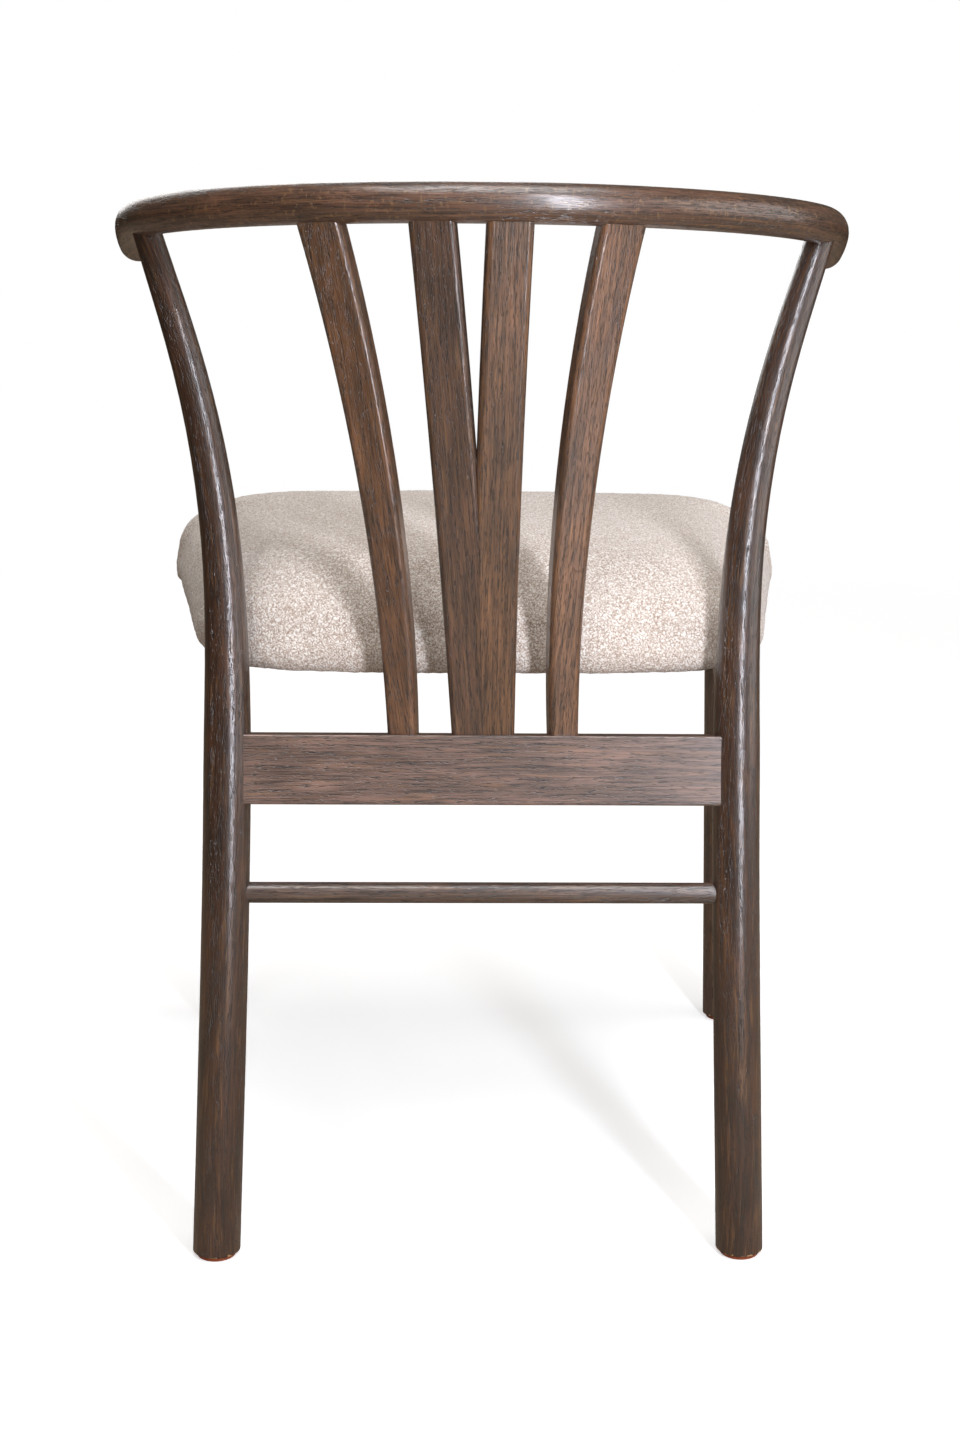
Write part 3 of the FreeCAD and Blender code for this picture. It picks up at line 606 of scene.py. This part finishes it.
def plain_wood(name, direction):
    """Sanded beech without a finish: pale, matt, with fine fibres."""
    material, tree = new_material(name)
    wood = add(tree, "ShaderNodeMapping",
               {"Vector": straight_fibres(direction)(tree),
                "Scale": (1 / BEECH_WIDTH, 1 / BEECH_WIDTH, 1 / BEECH_LENGTH)}).outputs["Vector"]
    fibre = add(tree, "ShaderNodeTexNoise",
                {"Vector": wood, "Scale": 1.0, "Detail": 3.0}).outputs["Fac"]
    colour = ramp(tree, fibre, [(0.3, "#a98058"), (0.55, "#c9a27a"), (0.75, "#dcbc95")])
    bump = add(tree, "ShaderNodeBump", {"Height": fibre, "Strength": 0.3, "Distance": BEECH_DEPTH})
    shader = add(tree, "ShaderNodeBsdfPrincipled",
                 {"Base Color": colour, "Roughness": 0.7, "Normal": bump.outputs["Normal"]})
    add(tree, "ShaderNodeOutputMaterial", {"Surface": shader.outputs[0]})
    return material


def speckled(name, dark, light, grain, roughness, metallic=0.0):
    """A fine-grained material in two tones: dust cloth, zinc or the foot pads."""
    material, tree = new_material(name)
    place = add(tree, "ShaderNodeTexCoord").outputs["Object"]
    grit = add(tree, "ShaderNodeTexNoise",
               {"Vector": place, "Scale": 1 / grain, "Detail": 3.0}).outputs["Fac"]
    colour = ramp(tree, grit, [(0.35, dark), (0.65, light)])
    bump = add(tree, "ShaderNodeBump", {"Height": grit, "Strength": 0.4, "Distance": GRIT_DEPTH})
    shader = add(tree, "ShaderNodeBsdfPrincipled",
                 {"Base Color": colour, "Roughness": roughness, "Metallic": metallic,
                  "Normal": bump.outputs["Normal"]})
    add(tree, "ShaderNodeOutputMaterial", {"Surface": shader.outputs[0]})
    return material


bare = plain_wood("beech_unfinished", (1, 0, 0))
for node in ("corner_block_left", "corner_block_right", "frame_dowels", "seat_board"):
    dress(node, bare)
zinc = speckled("zinc_plated_steel", "#8d9095", "#b4b6b8", 0.8 * MM, 0.35, metallic=1.0)
dress("block_screws", zinc)
dress("seat_screws", zinc)
dress("seat_lining", speckled("black_dust_cloth", "#141414", "#2b2a29", 1.2 * MM, 0.9))
pad = speckled("rust_red_foot_pad", "#8c4630", "#b3623c", 1.5 * MM, 0.75)
for node in ("glide_rear_left", "glide_rear_right", "glide_front_left", "glide_front_right"):
    dress(node, pad)
print("materials:", len(bpy.data.materials))

# %% [markdown]
# The studio is a white floor that runs out of sight under a white sky. Only the camera sees them
# so. If the lacquer mirrored all that white, it would lay a grey veil on the dark wood, so every
# other ray meets a dimmer, warmer floor and a weak warm sky. For the camera the floor also adds a
# little white of its own, which keeps it paper white and still leaves a soft shadow, and farther
# out it turns plain white.

# %% Floor and sky
WHITE = (1, 1, 1, 1)
FLOOR_SIZE = 30.0
FLOOR_GLOW = 0.54
PLAIN_WHITE = (0.8, 2.5)
SKY_STRENGTH = 0.08
floor_shape = bmesh.new()
bmesh.ops.create_grid(floor_shape, x_segments=2, y_segments=2, size=FLOOR_SIZE)
floor_mesh = bpy.data.meshes.new("floor")
floor_shape.to_mesh(floor_mesh)
floor_shape.free()
floor = bpy.data.objects.new("floor", floor_mesh)
bpy.context.scene.collection.objects.link(floor)
paper, tree = new_material("white_paper")
diffuse = add(tree, "ShaderNodeBsdfDiffuse", {"Color": paint("#f2f2f2")})
glow = add(tree, "ShaderNodeEmission", {"Color": WHITE, "Strength": FLOOR_GLOW})
near = add(tree, "ShaderNodeAddShader", {0: diffuse.outputs[0], 1: glow.outputs[0]})
far = add(tree, "ShaderNodeEmission", {"Color": WHITE, "Strength": 1.0})
place = add(tree, "ShaderNodeTexCoord").outputs["Object"]
reach = add(tree, "ShaderNodeVectorMath", {0: place}, operation="LENGTH").outputs["Value"]
reach = add(tree, "ShaderNodeMapRange", {"Value": reach, "From Min": PLAIN_WHITE[0],
                                         "From Max": PLAIN_WHITE[1]}).outputs[0]
bright = add(tree, "ShaderNodeMixShader", {0: reach, 1: near.outputs[0], 2: far.outputs[0]})
rays = add(tree, "ShaderNodeLightPath").outputs
dim = add(tree, "ShaderNodeBsdfDiffuse", {"Color": paint("#9a8a78")})
mixed = add(tree, "ShaderNodeMixShader",
            {0: rays["Is Camera Ray"], 1: dim.outputs[0], 2: bright.outputs[0]})
add(tree, "ShaderNodeOutputMaterial", {"Surface": mixed.outputs[0]})
floor_mesh.materials.append(paper)

world = bpy.data.worlds.new("studio")
bpy.context.scene.world = world
world.use_nodes = True
tree = world.node_tree
tree.nodes.clear()
rays = add(tree, "ShaderNodeLightPath").outputs
soft = add(tree, "ShaderNodeBackground", {"Color": paint("#ffe9d2"), "Strength": SKY_STRENGTH})
white = add(tree, "ShaderNodeBackground", {"Color": WHITE, "Strength": 1.0})
mixed = add(tree, "ShaderNodeMixShader",
            {0: rays["Is Camera Ray"], 1: soft.outputs[0], 2: white.outputs[0]})
add(tree, "ShaderNodeOutputWorld", {"Surface": mixed.outputs[0]})
print("the floor is plain white beyond", PLAIN_WHITE[1], "m")


# %% [markdown]
# Five soft lamps light the chair. A tall strip stands beside the camera and draws the bright line
# down the round legs. A broad panel on the same side and one overhead are the main lights. A panel
# behind the camera lifts the back of the wood, and it is kept out of reflections, where it would
# be a haze. The last one fills the front, which the other four leave dark.

# %% Lamps
def soft_light(name, place, target, size, watts, colour="#ffffff", glints=True):
    """A rectangular soft light at place, facing target. Size is (width, height) in metres."""
    data = bpy.data.lights.new(name, "AREA")
    data.shape = "RECTANGLE"
    data.size, data.size_y = size
    data.energy = watts
    data.color = paint(colour)[:3]
    lamp = bpy.data.objects.new(name, data)
    way = Vector(target) - Vector(place)
    lamp.rotation_euler = way.to_track_quat("-Z", "Y").to_euler()
    lamp.location = place
    lamp.visible_camera = False
    lamp.visible_glossy = glints
    bpy.context.scene.collection.objects.link(lamp)
    print("lamp", name, watts, "W")


soft_light("tall_strip", place=(-0.52, 1.38, 0.95), target=(0.0, 0.2, 0.55), size=(0.12, 1.7),
           watts=20.0, colour="#f0f4ff")
soft_light("side_panel", place=(-2.3, 0.5, 1.2), target=(0.0, 0.0, 0.45), size=(2.4, 2.2),
           watts=22.0)
soft_light("overhead", place=(0.0, 0.5, 2.6), target=(0.0, 0.0, 0.45), size=(1.4, 1.4),
           watts=27.0)
soft_light("behind", place=(0.8, 2.6, 1.7), target=(0.0, 0.0, 0.5), size=(1.6, 1.2),
           watts=16.0, glints=False)
soft_light("front", place=(0.7, -2.6, 1.5), target=(0.0, 0.0, 0.5), size=(1.8, 1.4),
           watts=18.0)

# %% [markdown]
# Standard colours keep the numbers of the paint chart as they are.

# %% Finish
bpy.context.scene.view_settings.view_transform = "Standard"
